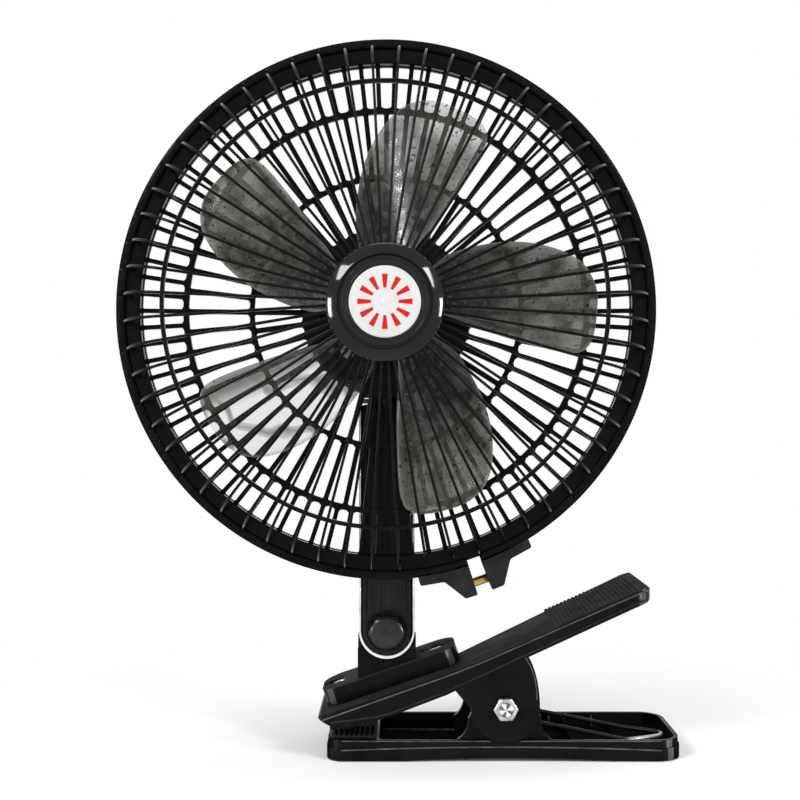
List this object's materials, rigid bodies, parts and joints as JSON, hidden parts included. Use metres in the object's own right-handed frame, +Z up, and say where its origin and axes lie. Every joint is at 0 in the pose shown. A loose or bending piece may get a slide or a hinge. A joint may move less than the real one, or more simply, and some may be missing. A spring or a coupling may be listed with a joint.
{
  "type": "clip fan",
  "caption": "Small caged fan on a short tilting arm, carried by a long spring clamp with rubber jaws; the head swings from side to side.",
  "frame": {"origin": "under the middle of the whole object, on the surface the lower jaw stands on", "axes": "+Z up; the fan blows towards -Y; the clamp lies along X with its handle towards +X"},
  "size_m": [0.224, 0.1264, 0.285],
  "materials": {
    "guard_plastic": "injection-moulded black polypropylene, satin to gloss",
    "body_plastic": "moulded black ABS with a fine satin grain",
    "cap_gloss": "polished black ABS",
    "cap_ring_grey": "dark grey satin plastic",
    "badge_white": "plain white printed disc under clear lacquer",
    "blade_smoke": "translucent smoky plastic",
    "cover_grey": "dark grey plastic with fine streaks",
    "silver_trim": "bright silver plated plastic",
    "pad_rubber": "soft black rubber",
    "zinc_steel": "bright zinc plated steel",
    "spring_steel": "bare drawn spring wire",
    "brass_screw": "yellow passivated screw",
    "acetal": "natural white acetal"
  },
  "bodies": {
    "lower_jaw": {"lower_jaw": "body_plastic", "lower_jaw_pad": "pad_rubber", "foot_strip_left": "pad_rubber", "foot_strip_right": "pad_rubber", "pivot_bolt": "zinc_steel", "pivot_nut": "zinc_steel", "clamp_spring": "spring_steel"},
    "upper_jaw": {"upper_jaw": "body_plastic", "upper_jaw_pad": "pad_rubber", "neck_base": "body_plastic", "neck_screw_1": "zinc_steel", "neck_screw_2": "zinc_steel"},
    "arm": {"arm": "body_plastic", "arm_cover": "cover_grey", "arm_trim": "silver_trim", "tilt_nut": "zinc_steel", "swivel_bush": "acetal"},
    "tilt_knob": {"tilt_knob": "body_plastic", "tilt_bolt": "zinc_steel"},
    "head": {"front_grille": "guard_plastic", "rear_grille": "guard_plastic", "rim_band": "guard_plastic", "band_screw": "brass_screw", "band_nut": "zinc_steel", "hub_cap": "cap_gloss", "cap_ring": "cap_ring_grey", "badge": "badge_white", "motor_housing_front": "body_plastic", "motor_housing_rear": "body_plastic", "motor_can": "zinc_steel", "gear_plate": "zinc_steel", "swivel_post": "zinc_steel", "grille_screw_1": "zinc_steel", "grille_screw_2": "zinc_steel", "grille_screw_3": "zinc_steel", "grille_screw_4": "zinc_steel", "speed_switch_body": "body_plastic", "cord_gland": "pad_rubber"},
    "rotor": {"fan_rotor": "blade_smoke", "motor_shaft": "zinc_steel", "armature": "zinc_steel", "blade_nut": "body_plastic"},
    "swing_knob": {"swing_knob": "body_plastic"},
    "worm_wheel": {"worm_wheel": "acetal"},
    "speed_switch_rocker": {"speed_switch_rocker": "cap_gloss"}
  },
  "joints": [
    {"name": "clamp_open", "type": "hinge", "parent": "lower_jaw", "child": "upper_jaw", "pos_m": [0.0406, 0.01525, 0.0215], "axis": [0, 1, 0], "range_deg": [0, 28], "stiffness_Nm_per_rad": 1.5, "springref_deg": -22.92, "deforming": ["clamp_spring"]},
    {"name": "arm_tilt", "type": "hinge", "parent": "upper_jaw", "child": "arm", "pos_m": [-0.007, 0.01525, 0.05], "axis": [0, 1, 0], "range_deg": [-45, 25]},
    {"name": "tilt_knob_turn", "type": "hinge", "parent": "arm", "child": "tilt_knob", "pos_m": [-0.007, 0.01525, 0.05], "axis": [0, -1, 0], "range_deg": [0, 360]},
    {"name": "head_swing", "type": "hinge", "parent": "arm", "child": "head", "pos_m": [-0.007, 0.01525, 0.15], "axis": [0, 0, 1], "range_deg": [-90, 90]},
    {"name": "rotor_spin", "type": "hinge", "parent": "head", "child": "rotor", "pos_m": [-0.007, 0.01525, 0.18], "axis": [0, 1, 0], "continuous": true},
    {"name": "swing_knob_pull", "type": "slide", "parent": "head", "child": "swing_knob", "axis": [0, 0, 1], "range_m": [0, 0.004]},
    {"name": "worm_wheel_turn", "type": "hinge", "parent": "head", "child": "worm_wheel", "pos_m": [0.0053, 0.04275, 0.18], "axis": [0, 0, 1], "continuous": true},
    {"name": "speed_switch_rock", "type": "hinge", "parent": "head", "child": "speed_switch_rocker", "pos_m": [-0.007, 0.06125, 0.174], "axis": [1, 0, 0], "range_deg": [-10, 10]}
  ],
  "couplings": [
    {"joint": "worm_wheel_turn", "follows": "rotor_spin", "ratio": 0.041667}
  ]
}
